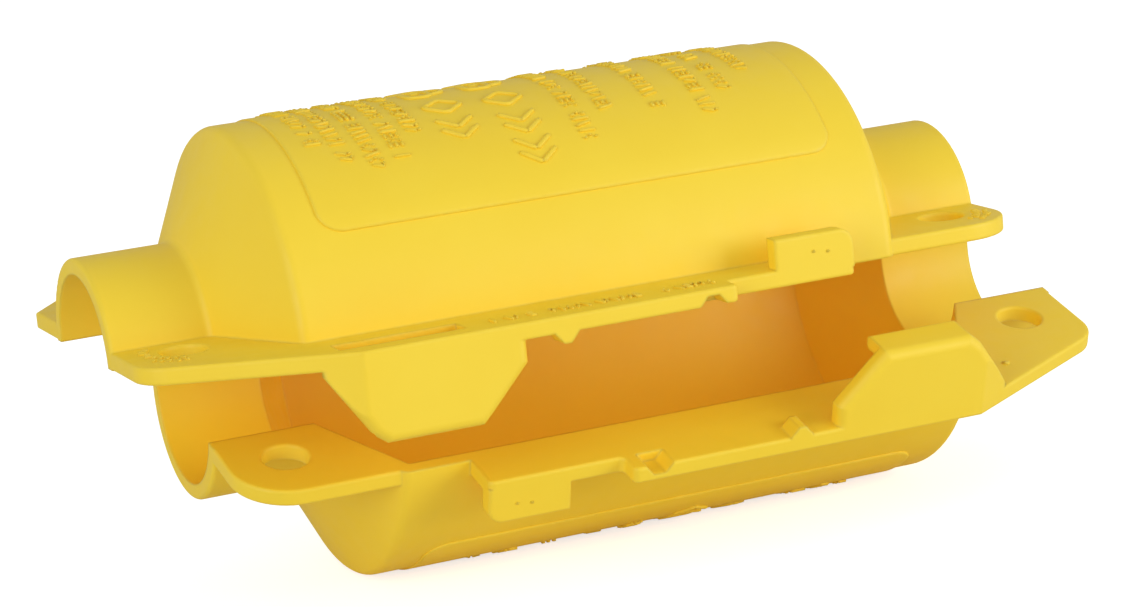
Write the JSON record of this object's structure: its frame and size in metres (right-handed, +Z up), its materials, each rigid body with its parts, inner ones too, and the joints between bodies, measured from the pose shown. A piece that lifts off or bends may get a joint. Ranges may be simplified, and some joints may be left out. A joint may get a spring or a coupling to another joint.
{
  "type": "plug lockout cover",
  "caption": "Hinged clamshell cover that closes round an electrical plug and its cable, slides shut on front catches and takes padlocks through its end tabs.",
  "frame": {"origin": "on the upper half's barrel axis, half way along, in its parting plane", "axes": "+X along the barrel, -Y towards the front that opens, +Y towards the hinge, +Z up out of the upper half's barrel"},
  "size_m": [0.2124, 0.1081, 0.0967],
  "materials": {
    "shell_plastic": "satin moulded",
    "pin_steel": "drawn"
  },
  "bodies": {
    "upper_half": {"upper_shell": "shell_plastic", "upper_knuckles": "shell_plastic"},
    "rod": {"hinge_pin": "pin_steel"},
    "lower_half": {"lower_shell": "shell_plastic", "lower_knuckles": "shell_plastic"}
  },
  "joints": [
    {"name": "hinge_turn", "type": "hinge", "parent": "upper_half", "child": "rod", "pos_m": [0, 0.0475, 0], "axis": [1, 0, 0], "range_deg": [-16, 132.7]},
    {"name": "lock_slide", "type": "slide", "parent": "rod", "child": "lower_half", "axis": [1, 0, 0], "range_m": [-0.0194, 0]}
  ]
}
